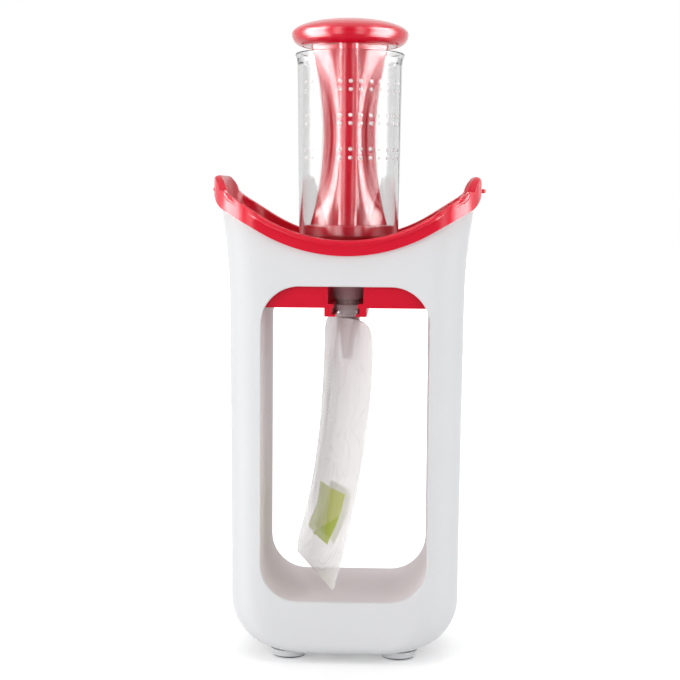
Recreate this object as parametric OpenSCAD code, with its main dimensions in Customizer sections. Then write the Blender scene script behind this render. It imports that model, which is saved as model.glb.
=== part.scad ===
// Food pouch filling station: a hollow stand, a saddle-shaped tray, a clear filling tube
// with its press, and one pouch hanging by its spout from rails under the tray.
// X runs across the stand, Y from front (negative) to back, Z up; z = 0 is the tabletop.

/* [Stand] */
// Half of the stand's width just above its rounded bottom corners
stand_half_w = 58.9; // [56:0.1:66]
// Half of the stand's depth, front face to middle
stand_half_d = 39.6; // [37.6:0.2:42]
// Gain in half-width for each millimetre of height
stand_lean = 0.0095; // [0:0.0005:0.02]
// Height at which the sides start to flare towards the tray
flare_from_z = 184; // [150:1:195]
// Radius of that flare, seen from the front
flare_r = 327; // [250:1:500]
// Radius of the upright corners, seen from above
stand_corner_r = 22; // [16:1:26]
// Radius of the big bottom corners, seen from the front
bottom_corner_r = 26; // [18:1:30]
// Radius of the bottom edge along the front and back
bottom_edge_r = 6; // [4:0.5:8]
// Height of the stand's underside above the table
stand_clear = 4; // [3.5:0.1:6]
// Wall of the stand moulding
stand_wall = 2.4; // [2:0.1:3]

/* [Pouch bay] */
// Half-width of the bay that runs through the stand
bay_half_w = 42.6; // [40:0.2:44]
// Height of the bay's floor
bay_floor_z = 32.1; // [28:0.1:38]
// Height of the top of the bay's windows
bay_top_z = 193.4; // [188:0.2:196]
// Radius of the bay's corners
bay_corner_r = 19.5; // [14:0.5:24]

/* [Tray] */
// Lowest point of the tray's underside, where it rests on the stand
saddle_low_z = 208.9; // [206:0.1:214]
// Radius of the tray's underside in the middle
saddle_r = 86; // [82:1:96]
// Slope of the straight run between that arc and the ears
saddle_slope = 29.7; // [27:0.1:32]
// Half-width of the tray over its ears
tray_half_w = 68.4; // [67:0.1:71]
// Half-depth of the tray over its rims
tray_half_d = 41.6; // [41:0.1:43]
// Plan radius of the tray's corners
tray_corner_r = 24; // [18:1:28]
// Height of the rim band in the middle of the front
rim_h = 7.4; // [6.5:0.1:9]
// Width of the rim, front to back
rim_w = 3.2; // [2.6:0.1:4]
// Thickness of the tray's floor
tray_floor_t = 2.5; // [2:0.1:3]
// Thickness of the ears at their rounded tops
ear_t = 7; // [6:0.2:8]
// How far the ears stand upright above the end of the curl
ear_rise = 3.7; // [2.5:0.1:5]
// Half-length of the ears' level tops, front to back
ear_level = 19.5; // [16:0.5:24]
// Radius of the round shoulders at both ends of those tops, seen from the side
ear_round_r = 12; // [9:0.5:16]
// How far those shoulders come down, where they meet the rims
ear_shoulder_h = 8; // [6:0.5:9]
// Radius of the curl that turns the underside up into the ears
ear_curl_r = 12; // [10:0.5:15]
// How much tighter the rim's top edge curves than the underside
rim_tighter = 4; // [3:0.5:5]
// How much steeper the rim's top edge rises to the ears than the underside
rim_steeper = 3; // [1:0.5:4]
// Height of the bead along the top of the rim
bead_h = 1.9; // [1.2:0.1:2.5]
// How far the bead stands out from the rim
bead_out = 0.5; // [0.3:0.1:1]
// Radius of the small pegs on the ears' outer sides
peg_r = 1.1; // [0.8:0.1:1.5]
// Length of the pegs, out of the ear
peg_len = 3; // [2:0.1:4]
// Distance of the pegs below the start of the ears' round tops
peg_drop = 3.7; // [3:0.1:6]

/* [Drop box and spout rails] */
// Height of the drop box's open lower edge
box_low_z = 182.5; // [180:0.1:186]
// Gap between the drop box and the stand's front and back panels
box_front_gap = 1.7; // [1:0.1:2.5]
// Wall of the drop box
box_wall = 2.2; // [1.8:0.1:2.6]
// Gap between the drop box and the bay's side walls
box_gap = 0.4; // [0.3:0.1:0.8]
// Width of the slot in the drop box's front wall
slot_w = 18; // [17.4:0.2:20]
// Height of the top of that slot
slot_top_z = 200; // [196:1:202]
// Thickness of the webs that carry the spout rails
rail_web = 1.7; // [1.4:0.1:2.2]
// Lowest point of the spout rails
rail_low_z = 178.1; // [177:0.1:180]
// Thickness of the lip that the spout's flange rests on
lip_t = 1.1; // [0.9:0.1:1.4]
// Thickness of the ledge above the flange
ledge_t = 2; // [1.6:0.1:2.4]

/* [Filling tube] */
// Bore of the tube
tube_bore_r = 24.4; // [23.8:0.1:25]
// Wall of the tube at its seat in the tray
tube_wall = 1.35; // [1.2:0.05:2]
// Gain in outer radius for each millimetre of height
tube_draft = 0.0135; // [0.008:0.0005:0.016]
// Height of the tube's foot, which stands in the tray's seat
tube_foot_z = 205; // [204:0.1:206]
// Height of the tube's top edge
tube_top_z = 312.5; // [306:0.5:320]
// Outer radius of the flared top edge
lip_r = 28.3; // [27.8:0.1:29]
// Height over which the top edge flares
lip_h = 6; // [4:0.5:8]
// Height of the upper edge of the funnel inside the tube
funnel_top_z = 211.7; // [211:0.1:214]
// Height of the lower edge of that funnel
funnel_low_z = 200.5; // [199:0.1:202]
// Thickness of the funnel's wall
funnel_t = 2.2; // [1.8:0.1:2.4]
// Outer radius of the outlet
outlet_r = 8.2; // [8:0.1:8.4]
// Bore of the outlet
outlet_bore_r = 6.2; // [5.6:0.1:6.4]
// Depth of the seal's seat in the outlet
seal_seat_h = 2.4; // [2:0.1:3]

/* [Bayonet] */
// Width of the upright keys on the tube
key_w = 5.2; // [4.6:0.1:6]
// How far the keys stand out from the tube
key_out = 1.6; // [1.4:0.1:1.8]
// Height of the keys' tops
key_top_z = 220.6; // [219:0.1:222]
// Angle of the foot that locks under the tray
foot_angle = 20; // [16:1:24]
// Height of that foot above the tube's lower edge
foot_lift = 0.8; // [0.6:0.1:1.2]
// Turn that frees the tube
unlock_angle = 25; // [24:1:28]

/* [Press] */
// Radius of the knob
knob_r = 30.25; // [29:0.25:32]
// Radius of the knob's rounded lower edge, seen from the side
knob_edge_r = 6.5; // [5.5:0.5:7.5]
// Rise of the knob's elliptic top above its widest part
knob_dome_h = 8; // [7:0.5:10]
// Height of the knob's underside
knob_low_z = 315.7; // [315:0.1:318]
// Wall of the knob
knob_wall = 2.2; // [1.8:0.1:2.6]
// Radius of the stem's top disc, which closes the knob
disc_r = 24.3; // [23:0.1:25]
// Thickness of that disc
disc_t = 2.5; // [2:0.1:3]
// How far the disc's snap ring reaches over the knob's lower wall
snap_out = 1; // [0.6:0.1:1.2]
// Reach of the ribs from the axis at the stem's waist
waist_r = 13.7; // [12.5:0.1:15]
// Reach of the ribs at the stem's ends
stem_end_r = 20.4; // [19:0.1:21.5]
// Thickness of the ribs
rib_t = 8.8; // [7:0.2:10]
// Depth of the flutes between the ribs at the waist
flute_depth = 5.6; // [4:0.2:6]
// Radius of the piston
piston_r = 23.9; // [23:0.1:24.1]
// Height of the piston's top edge
piston_top_z = 224; // [223:0.5:226]
// Height of the seal's groove
seal_h = 4; // [3:0.2:5]
// Depth of the seal's groove
seal_depth = 1.9; // [1.5:0.1:2.5]

/* [Pouch] */
// Full width of the pouch
pouch_w = 96; // [90:1:100]
// Height of the pouch's lower edge
pouch_low_z = 40.5; // [38:0.5:60]
// Height of the pouch's upper edge, under the spout
pouch_top_z = 175.6; // [175:0.1:175.9]
// Thickness of the empty pouch between its seams
pouch_t = 7; // [4:0.5:9]
// Radius of the pouch's shoulders
shoulder_r = 14; // [10:1:18]
// Turn of the pouch from the front-to-back plane
pouch_turn = 15; // [0:1:18]
// How far the pouch's lower edge curls to the left
pouch_curl = 17.6; // [0:0.2:20]
// Radius of the spout's neck
neck_r = 4.9; // [4.5:0.1:5.2]
// Half-width of the spout's flange across its flats
flange_half_w = 6.9; // [6.7:0.1:7]
// Half-length of that flange, front to back
flange_half_l = 8.2; // [7.5:0.1:9]
// Thickness of that flange
flange_t = 2.9; // [2.5:0.1:3.2]
// Radius of the spout's mouth
mouth_r = 6; // [5.6:0.1:6.1]
// Bore of the spout
spout_bore_r = 4; // [3.5:0.1:4.1]
// Half-length of the boat-shaped base that is welded into the pouch
boat_half_l = 12; // [11:0.5:16]
// Half-thickness of that base
boat_half_t = 4.9; // [4.5:0.1:5.5]
// Height of that base
boat_h = 8; // [6:0.5:10]
// Length of the spout's tail below the pouch's upper edge
tail_len = 22; // [16:1:24]
// Radius of the tail's end
tail_r = 2.6; // [2.4:0.1:3]

/* [Base] */
// Half-width of the base plate
base_half_w = 39; // [36:0.5:40]
// Half-depth of the base plate
base_half_d = 32.5; // [31:0.5:33]
// Thickness of the base plate
base_t = 2.4; // [2:0.1:3]
// Distance of the feet from the middle, across
foot_x = 28.3; // [26:0.1:29]
// Distance of the feet from the middle, front to back
foot_y = 21.8; // [20:0.1:22.4]
// Radius of the feet at the table
foot_r = 9; // [7.5:0.1:9.2]
// Thickness of the soft pads under the feet
pad_t = 1.8; // [1.4:0.1:2.2]
// Distance of the base screws from the middle, across
screw_x = 11; // [8:0.5:14]
// Distance of the base screws from the middle, front to back
screw_y = 24; // [20:0.5:26]
// Length of the base screws under their heads
screw_len = 12; // [10:0.5:16]
// Radius of the posts that the screws bite into
post_r = 4; // [3.5:0.1:5]

/* [Fits] */
// Clearance of the tube in the tray's seat
tube_gap = 0.3; // [0.2:0.05:0.5]
// Clearance of the piston's seal in the tube
seal_gap = 0.08; // [0.05:0.01:0.1]
// Clearance of the spout in its rails
rail_gap = 0.3; // [0.2:0.05:0.4]
// Gap between the outlet's seal and the spout's mouth
mouth_gap = 0.3; // [0.2:0.05:0.4]
// Clearance between pieces that are put together once
seat_gap = 0.2; // [0.1:0.05:0.3]

/* [Hidden] */
$fn = 64;
white = [0.89, 0.89, 0.90];
red = [0.84, 0.06, 0.16];
clear = [0.86, 0.90, 0.90, 0.4];
rubber = [0.20, 0.21, 0.23];
film = [0.88, 0.87, 0.86, 0.8];
steel = [0.7, 0.7, 0.72];

eps = 0.05;              // overlap that keeps cuts clean
corner_steps = 8;        // straight steps in a rounded corner
past = 20;               // how far some cuts reach past what they cut

// The saddle's outlines: a big arc in the middle that curls up at each end.
rim_r = saddle_r - rim_tighter;
rim_low_z = saddle_low_z + rim_h;
inner_curl_r = ear_curl_r - rim_tighter;
ear_inner_x = tray_half_w - ear_t;
ear_cap_r = ear_t / 2;
rim_slope = saddle_slope + rim_steeper;
ear_cap_z = curl_centre(saddle_low_z, saddle_r, ear_curl_r, tray_half_w, saddle_slope)[1] + ear_rise;
ear_top_z = ear_cap_z + ear_cap_r;
peg_z = ear_cap_z - peg_drop;
high_z = ear_top_z + past;

// The bay, the drop box that hangs in it, and the base below it.
bay_mid_z = (bay_floor_z + bay_top_z) / 2;
box_half_w = bay_half_w - box_gap;
box_half_d = stand_half_d - stand_wall - box_front_gap;
base_low_z = stand_clear;
base_top_z = base_low_z + base_t;

// The seat of the tube in the tray.
function tube_r(z) = tube_bore_r + tube_wall + tube_draft * (z - tube_foot_z);
seat_r = tube_r(rim_low_z) + tube_gap;
key_r = tube_r(tube_foot_z) + key_out;
groove_r = key_r + tube_gap;
seat_wall = 2.2;
seat_floor_z = tube_foot_z - tube_gap;
seat_low_z = seat_floor_z - seat_wall;
foot_low_z = tube_foot_z + foot_lift;
foot_top_z = saddle_low_z - 2 * tube_gap;
groove_low_z = foot_low_z - tube_gap;
groove_top_z = foot_top_z + tube_gap;
key_angle = 2 * asin(key_w / 2 / key_r);
key_root = 0.6;                           // how deep the keys stand in the tube's wall
notch_spare = 2;                          // spare angle at each end of a notch
funnel_slope = (funnel_top_z - funnel_low_z) / (tube_bore_r - outlet_bore_r);
skirt_r = tube_bore_r - 0.7;              // inside of the ring below the funnel
funnel_tip_z = funnel_low_z - funnel_t;   // where the funnel's outside meets the outlet
seat_hole_r = outlet_r + (seat_floor_z - funnel_tip_z) / funnel_slope + 2 * tube_gap;

// Heights at the outlet, from the rails up.
flange_low_z = rail_low_z + lip_t + 0.1;
ledge_low_z = flange_low_z + flange_t + rail_gap;
flange_top_z = flange_low_z + flange_t;
ledge_top_z = ledge_low_z + ledge_t;
mouth_top_z = ledge_top_z + 0.1;
seal_low_z = mouth_top_z + mouth_gap;
outlet_low_z = seal_low_z + 0.4;          // the seal stands out by this much
seal_r = outlet_r - 1;
rail_inner = flange_half_w + rail_gap;
rail_outer = slot_w / 2 + rail_web;
lip_inner = neck_r + rail_gap;
ledge_inner = mouth_r + rail_gap;
rail_stop_y = flange_half_l + rail_gap;

// The press.
knob_mid_z = knob_low_z + knob_edge_r;
disc_low_z = knob_low_z + seat_gap;
disc_top_z = disc_low_z + disc_t;
stem_low_z = piston_top_z - 0.5;
stem_high_z = disc_low_z + 0.5;
waist_z = (stem_low_z + stem_high_z) / 2;
stem_half_h = (stem_high_z - stem_low_z) / 2;
rib_steps = 7;
stem_levels = 22;
nose_gap = 0.5;
piston_low_z = funnel_top_z + nose_gap;
seal_low = piston_low_z + 2.6;
nose_r = outlet_bore_r - 0.6;
nose_low_z = piston_low_z - (piston_r - nose_r) * funnel_slope;

// The feet and screws of the base.
foot_top_r = foot_r + 1;
pad_r = foot_r - 0.8;
foot_low = pad_t / 2;                     // half of each pad stands in its foot
screw_r = 1.5;
screw_head_r = 3;
screw_head_t = 1.6;
screw_slot_l = 3.2;
screw_slot_w = 0.6;
screw_slot_h = 0.9;

// The pouch and its spout.
seam_half_t = 0.3;                        // both films in the seams
tail_low_z = pouch_top_z - tail_len;
tail_wall = 0.8;
collar_r = neck_r + 2.5;                  // small collar just above the pouch
collar_t = 1.2;
collar_low_z = pouch_top_z + 0.4;
boat_r = (pow(boat_half_l, 2) + pow(boat_half_t, 2)) / 2 / boat_half_t;

// ---- outlines ----

function arc(c, r, a0, a1, n) = [for (i = [0 : n]) let (a = a0 + (a1 - a0) * i / n) c + r * [cos(a), sin(a)]];

// A rectangle with round corners, as half-width, half-depth and corner radius.
function round_rect(w, d, r, n = corner_steps) = concat(
    arc([w - r, d - r], r, 0, 90, n),
    arc([r - w, d - r], r, 90, 180, n),
    arc([r - w, r - d], r, 180, 270, n),
    arc([w - r, r - d], r, 270, 360, n));

// Right half of a saddle outline, from the middle out: an arc of radius r through [0, low]
// runs on without a kink into a straight at the slope given, and that into a curl of radius c
// that ends upright at x = end.
function curl_centre(low, r, c, end, slope) = let (run = end - c + (c - r) * sin(slope))
    [end - c, low + r - (r - c) * cos(slope) + run * tan(slope)];
function saddle_half(low, r, c, end, slope) = concat(
    arc([0, low + r], r, -90, slope - 90, 20),
    arc(curl_centre(low, r, c, end, slope), c, slope - 90, 0, 8));
function mirrored(pts) = [for (i = [len(pts) - 1 : -1 : 0]) [-pts[i][0], pts[i][1]]];
function below(pts, z) = [for (p = pts) if (p[1] < z) p];

underside = saddle_half(saddle_low_z, saddle_r, ear_curl_r, tray_half_w, saddle_slope);
rim_top = below(saddle_half(rim_low_z, rim_r, inner_curl_r, ear_inner_x, rim_slope), ear_cap_z);
floor_top = saddle_half(saddle_low_z + tray_floor_t, saddle_r - tray_floor_t,
                        ear_curl_r - tray_floor_t, tray_half_w - tray_floor_t, saddle_slope);
bead_low = below(saddle_half(rim_low_z - bead_h, rim_r + bead_h, inner_curl_r + bead_h,
                             ear_inner_x + bead_h, rim_slope), ear_cap_z);
ear_cap = arc([tray_half_w - ear_cap_r, ear_cap_z], ear_cap_r, 0, 180, 12);

// Half-width of the stand at height z, without its bottom corners.
function side_w(z) = stand_half_w + stand_lean * (z - bottom_corner_r)
    + pow(max(0, z - flare_from_z), 2) / 2 / flare_r;
// How far a quarter-round of radius r draws in at height h above its lowest point.
function drawn_in(r, h) = h >= r ? 0 : r - sqrt(r * r - pow(r - h, 2));

// ---- shapes ----

module across(half) {
    // Turns a drawing in X and Z into a solid from y = -half to y = half.
    translate([0, half, 0]) rotate([90, 0, 0]) linear_extrude(2 * half) children();
}

// A closed solid through rings of the same number of points, listed from the bottom up.
// Each ring is seen whole from its own middle, where the end faces meet.
function middle(ring) = [for (k = [0 : 2]) let (v = [for (p = ring) p[k]]) (min(v) + max(v)) / 2];
module loft(rings) {
    n = len(rings[0]);
    m = len(rings);
    pts = concat([for (r = rings) each r], [middle(rings[0]), middle(rings[m - 1])]);
    faces = [for (j = [0 : m - 2], i = [0 : n - 1]) let (k = (i + 1) % n)
        each [[j * n + i, (j + 1) * n + i, (j + 1) * n + k], [j * n + i, (j + 1) * n + k, j * n + k]]];
    ends = [for (i = [0 : n - 1]) let (k = (i + 1) % n)
        each [[m * n, i, k], [m * n + 1, (m - 1) * n + k, (m - 1) * n + i]]];
    polyhedron(pts, concat(faces, ends));
}

// The stand's plan at height z, drawn in by inset.
function stand_ring(z, inset) = let (
    h = z - stand_clear - inset,
    w = side_w(z) - inset - drawn_in(bottom_corner_r - inset, h),
    d = stand_half_d - inset - drawn_in(bottom_edge_r - inset / 2, h))
    [for (p = round_rect(w, d, stand_corner_r - inset)) [p[0], p[1], z]];

module stand_form(inset) {
    // The stand's outside, or its inside when drawn in by its wall.
    bottom = [for (a = [0 : 15 : 90]) stand_clear + inset + (bottom_corner_r - inset) * (1 - cos(a))];
    flare_steps = 5;
    flare = [for (i = [0 : flare_steps]) flare_from_z + (ear_cap_z - flare_from_z) * i / flare_steps];
    levels = concat(bottom, flare);
    loft([for (z = levels) stand_ring(z, inset)]);
}

module bay_outline(grow) {
    // The windows' outline, seen from the front.
    translate([0, bay_mid_z])
        polygon(round_rect(bay_half_w + grow, (bay_top_z - bay_floor_z) / 2 + grow, bay_corner_r + grow));
}

module bay_well(grow) {
    // The bay between the front and back panels, open at the top for the drop box.
    bay_outline(grow);
    translate([-bay_half_w - grow, bay_mid_z]) square([2 * (bay_half_w + grow), high_z - bay_mid_z]);
}

module stand_body() color(white) difference() {
    union() {
        difference() {
            stand_form(0);
            stand_form(stand_wall);
        }
        intersection() {
            stand_form(stand_wall / 2);
            union() {
                across(stand_half_d) bay_well(stand_wall);
                for (x = [-screw_x, screw_x], y = [-screw_y, screw_y]) translate([x, y, base_top_z])
                    cylinder(r = post_r, h = bay_floor_z - base_top_z, $fn = 24);
            }
        }
    }
    across(stand_half_d - stand_wall) bay_well(0);
    across(stand_half_d + 1) bay_outline(0);
    across(stand_half_d + 1) polygon(concat(mirrored(underside), underside,
        [[tray_half_w + past, ear_cap_z], [tray_half_w + past, high_z],
         [-tray_half_w - past, high_z], [-tray_half_w - past, ear_cap_z]]));
    translate([0, 0, base_low_z - 1]) linear_extrude(base_t + 1)
        polygon(round_rect(base_half_w + seat_gap, base_half_d + seat_gap, stand_corner_r - stand_wall));
    for (x = [-screw_x, screw_x], y = [-screw_y, screw_y])
        translate([x, y, base_top_z - eps]) cylinder(r = screw_r + eps, h = screw_len + 1, $fn = 24);
}

module base_plate() color(white) difference() {
    union() {
        translate([0, 0, base_low_z]) linear_extrude(base_t)
            polygon(round_rect(base_half_w, base_half_d, stand_corner_r - stand_wall));
        for (x = [-foot_x, foot_x], y = [-foot_y, foot_y]) translate([x, y, foot_low])
            cylinder(r1 = foot_r, r2 = foot_top_r, h = base_low_z - foot_low + eps);
    }
    for (x = [-foot_x, foot_x], y = [-foot_y, foot_y])
        translate([x, y, -1]) cylinder(r = pad_r + eps, h = pad_t + 1);
    for (x = [-screw_x, screw_x], y = [-screw_y, screw_y]) translate([x, y, base_low_z - 1]) {
        cylinder(r = screw_r + seat_gap, h = base_t + 2);
        cylinder(r = screw_head_r + seat_gap, h = screw_head_t + 1);
    }
}

module base_screws() color(steel)
    for (x = [-screw_x, screw_x], y = [-screw_y, screw_y]) translate([x, y, base_low_z]) difference() {
        union() {
            cylinder(r = screw_head_r, h = screw_head_t);
            cylinder(r = screw_r, h = screw_head_t + screw_len);
        }
        for (a = [0, 90]) rotate(a) translate([-screw_slot_l / 2, -screw_slot_w / 2, -eps])
            cube([screw_slot_l, screw_slot_w, screw_slot_h]);
    }

module foot_pad(x, y) color(rubber) translate([x, y, 0]) cylinder(r = pad_r, h = pad_t);
module foot_pad_front_left() foot_pad(-foot_x, -foot_y);
module foot_pad_front_right() foot_pad(foot_x, -foot_y);
module foot_pad_rear_left() foot_pad(-foot_x, foot_y);
module foot_pad_rear_right() foot_pad(foot_x, foot_y);

// ---- tray ----

module plan(grow) {
    // The tray's outline from above, as a tall block.
    translate([0, 0, saddle_low_z - 1]) linear_extrude(high_z - saddle_low_z)
        polygon(round_rect(tray_half_w + grow, tray_half_d + grow, tray_corner_r + grow));
}

module side_outline() {
    // The tray seen from the side: level ears that drop to the rims over round shoulders.
    end_y = tray_half_d + past;
    half = concat([[end_y, saddle_low_z - 1], [end_y, ear_top_z - ear_shoulder_h]],
        arc([ear_level, ear_top_z - ear_round_r], ear_round_r, asin(1 - ear_shoulder_h / ear_round_r), 90, 8));
    rotate([90, 0, 90]) translate([0, 0, -tray_half_w - past]) linear_extrude(2 * (tray_half_w + past))
        polygon(concat(half, mirrored(half)));
}

module saddle() {
    half = concat(underside, ear_cap, [for (i = [len(rim_top) - 1 : -1 : 1]) rim_top[i]]);
    intersection() {
        across(tray_half_d + 1) polygon(concat(half, mirrored(half)));
        plan(0);
        side_outline();
    }
}

module bead() {
    half = concat(bead_low, [for (i = [len(rim_top) - 1 : -1 : 1]) rim_top[i]]);
    intersection() {
        across(tray_half_d + 2) polygon(concat(half, mirrored(half)));
        plan(bead_out);
        side_outline();
    }
}

module above_floor() {
    // The trough inside the rim.
    intersection() {
        across(tray_half_d) polygon(concat(mirrored(floor_top), floor_top,
            [[tray_half_w - tray_floor_t, high_z], [tray_floor_t - tray_half_w, high_z]]));
        plan(-rim_w);
    }
}

module drop_box() {
    difference() {
        translate([-box_half_w, -box_half_d, box_low_z])
            cube([2 * box_half_w, 2 * box_half_d, ear_top_z - box_low_z]);
        translate([box_wall - box_half_w, box_wall - box_half_d, box_low_z - 1])
            cube([2 * (box_half_w - box_wall), 2 * (box_half_d - box_wall), high_z]);
    }
}

module rail(side) {
    // One spout rail with its web: lip below the flange, ledge above it.
    module bar(x, z0, z1, y1) {
        translate([min(side * x, side * rail_outer), -box_half_d, z0])
            cube([rail_outer - x, y1 + box_half_d, z1 - z0]);
    }
    bar(lip_inner, rail_low_z, rail_low_z + lip_t, rail_stop_y + box_wall);
    bar(rail_inner, rail_low_z, ledge_top_z, rail_stop_y + box_wall);
    bar(ledge_inner, ledge_low_z, ledge_top_z, rail_stop_y + box_wall);
    bar(slot_w / 2, box_low_z, seat_floor_z, box_half_d);
}

module tray() color(red) difference() {
    union() {
        saddle();
        bead();
        difference() {
            union() {
                drop_box();
                translate([0, 0, seat_low_z]) cylinder(r = groove_r + seat_wall, h = ear_top_z - seat_low_z);
                for (side = [-1, 1]) rail(side);
                translate([-rail_outer, rail_stop_y, rail_low_z])
                    cube([2 * rail_outer, box_wall, ledge_top_z - rail_low_z]);
            }
            translate([-slot_w / 2, -box_half_d - 1, ledge_top_z])
                cube([slot_w, box_wall + 2, slot_top_z - ledge_top_z]);
            translate([-ledge_inner, -box_half_d - 1, ledge_low_z - 1])
                cube([2 * ledge_inner, box_wall + 2, ledge_t + 2]);
        }
        for (side = [-1, 1]) translate([side * (tray_half_w - 1), 0, peg_z]) rotate([0, side * 90, 0]) {
            cylinder(r = peg_r, h = peg_len + 1 - peg_r);
            translate([0, 0, peg_len + 1 - peg_r]) sphere(r = peg_r);
        }
    }
    above_floor();
    translate([0, 0, seat_floor_z]) cylinder(r = seat_r, h = high_z - seat_floor_z);
    rotate_extrude() polygon([[0, ledge_top_z], [outlet_r + tube_gap, ledge_top_z],
        [outlet_r + tube_gap, funnel_tip_z - tube_gap], [seat_hole_r, seat_floor_z],
        [seat_hole_r, seat_floor_z + eps], [0, seat_floor_z + eps]]);
    translate([0, 0, groove_low_z]) cylinder(r = groove_r, h = groove_top_z - groove_low_z);
    for (a = [90, 270]) rotate([0, 0, a - key_angle / 2 - unlock_angle - notch_spare])
        rotate_extrude(angle = key_angle + unlock_angle + 2 * notch_spare)
            translate([seat_r - eps, groove_low_z]) square([groove_r - seat_r + eps, rim_low_z - groove_low_z]);
}

// ---- filling tube ----

module filling_tube() color(clear) {
    lip_wall = (lip_r - tube_bore_r) / 2;
    rotate_extrude() polygon(concat(
        [[outlet_r, outlet_low_z], [outlet_r, funnel_tip_z],
         [skirt_r, funnel_tip_z + (skirt_r - outlet_r) * funnel_slope],
         [skirt_r, tube_foot_z], [tube_r(tube_foot_z), tube_foot_z],
         [tube_r(tube_top_z - lip_h), tube_top_z - lip_h],
         [tube_r(tube_top_z) + lip_wall / 5, tube_top_z - lip_h / 2]],
        arc([lip_r - lip_wall / 2, tube_top_z - lip_wall / 2], lip_wall / 2, 0, 90, 6),
        [[lip_r - lip_wall, tube_top_z], [tube_bore_r, tube_top_z - lip_h],
         [tube_bore_r, funnel_top_z], [outlet_bore_r, funnel_low_z],
         [outlet_bore_r, outlet_low_z + seal_seat_h], [seal_r, outlet_low_z + seal_seat_h],
         [seal_r, outlet_low_z]]));
    for (a = [90, 270]) rotate([0, 0, a]) {
        translate([tube_r(tube_foot_z) - key_root, -key_w / 2, foot_low_z])
            cube([key_root + key_out, key_w, key_top_z - foot_low_z]);
        rotate_extrude(angle = key_angle / 2 + foot_angle)
            translate([tube_r(tube_foot_z) - key_root, foot_low_z])
                square([key_root + key_out, foot_top_z - foot_low_z]);
    }
}

module outlet_seal() color(rubber) translate([0, 0, seal_low_z]) difference() {
    cylinder(r = seal_r - eps, h = outlet_low_z - seal_low_z + seal_seat_h - eps);
    translate([0, 0, -1]) cylinder(r = (spout_bore_r + outlet_bore_r) / 2, h = seal_seat_h + 3);
}

// ---- press ----

module knob_outline(t) {
    // Half section of the knob, drawn in by t.
    polygon(concat([[0, knob_low_z + t]],
        arc([knob_r - knob_edge_r, knob_mid_z], knob_edge_r - t, -90, 0, 8),
        [for (a = [7.5 : 7.5 : 90]) [(knob_r - t) * cos(a), knob_mid_z + (knob_dome_h - t) * sin(a)]]));
}

module press_knob() color(red) rotate_extrude() difference() {
    knob_outline(0);
    knob_outline(knob_wall);
    translate([0, knob_low_z - 1]) square([disc_r + seat_gap, disc_top_z + seat_gap + 1 - knob_low_z]);
}

// One quarter of the stem's section at height z: half a rib, a flute, half a rib.
function stem_quarter(z) = let (
    u = (z - waist_z) / stem_half_h,
    reach = waist_r + (stem_end_r - waist_r) * u * u,
    h = rib_t / 2,
    tip = reach - 1,
    chord = (tip - h) / sqrt(2),
    dip = 0.8 + (flute_depth - 0.8) * (1 - u * u),
    r = (chord * chord + dip * dip) / (2 * dip),
    c = (tip + h) / sqrt(2) - dip + r,
    half = dip > r ? 180 - asin(chord / r) : asin(chord / r))
    concat([[reach, 0], [reach - 0.3, h * 0.65]],
        [for (i = [0 : rib_steps]) let (a = 225 + half * (1 - 2 * i / rib_steps))
            [c / sqrt(2) + r * cos(a), c / sqrt(2) + r * sin(a)]],
        [[h * 0.65, reach - 0.3]]);

function turned(pts, a) = [for (p = pts) [p[0] * cos(a) - p[1] * sin(a), p[0] * sin(a) + p[1] * cos(a)]];

module stem_ribs() {
    loft([for (j = [0 : stem_levels])
        let (z = stem_low_z + (stem_high_z - stem_low_z) * j / stem_levels, q = stem_quarter(z))
        [for (a = [0 : 90 : 270]) each [for (p = turned(q, a)) [p[0], p[1], z]]]]);
}

module press_stem() color(red) {
    stem_ribs();
    translate([0, 0, disc_low_z]) cylinder(r = disc_r, h = disc_t);
    translate([0, 0, disc_top_z]) cylinder(r1 = disc_r + snap_out, r2 = disc_r, h = snap_out);
    rotate_extrude() polygon([[0, nose_low_z], [nose_r, nose_low_z], [piston_r, piston_low_z],
        [piston_r, seal_low], [piston_r - seal_depth, seal_low],
        [piston_r - seal_depth, seal_low + seal_h], [piston_r, seal_low + seal_h],
        [piston_r, piston_top_z - 0.6], [piston_r - 0.6, piston_top_z], [0, piston_top_z]]);
}

module piston_seal() color(rubber) rotate_extrude() polygon([
    [piston_r - seal_depth + eps, seal_low + eps], [tube_bore_r - seal_gap, seal_low + eps],
    [tube_bore_r - seal_gap, seal_low + 1], [piston_r, seal_low + 1.6],
    [piston_r, seal_low + seal_h - 1.6], [tube_bore_r - seal_gap, seal_low + seal_h - 1],
    [tube_bore_r - seal_gap, seal_low + seal_h - eps], [piston_r - seal_depth + eps, seal_low + seal_h - eps]]);

// ---- pouch ----

// Shift of the pouch's middle to the left, and its half-width, at height z.
function pouch_x(z) = -pouch_curl * pow((pouch_top_z - z) / (pouch_top_z - pouch_low_z), 2.2);
function pouch_half_w(z) = let (u = max(0, 1 - (pouch_top_z - z) / shoulder_r))
    boat_half_l + (pouch_w / 2 - boat_half_l) * sqrt(1 - u * u);
// Half of its thickness at height z and share y of its half-width: flat seams along the
// edges, a low swell between them, and the spout's welded base filling out the top.
function swell(z, y) = pouch_t / 2 * sqrt(sin(180 * (z - pouch_low_z) / (pouch_top_z - pouch_low_z)))
    * max(0, 1 - pow(abs(y) / 0.87, 2.2));
function round_spout(z, x) = (boat_half_t + seam_half_t) * max(0, 1 - pow(x / boat_half_l, 2))
    * (1 - pow(min(1, (pouch_top_z - z) / tail_len / 1.6), 2));
function pouch_half_t(z, y) = seam_half_t + max(swell(z, y), round_spout(z, y * pouch_half_w(z)));

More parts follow.
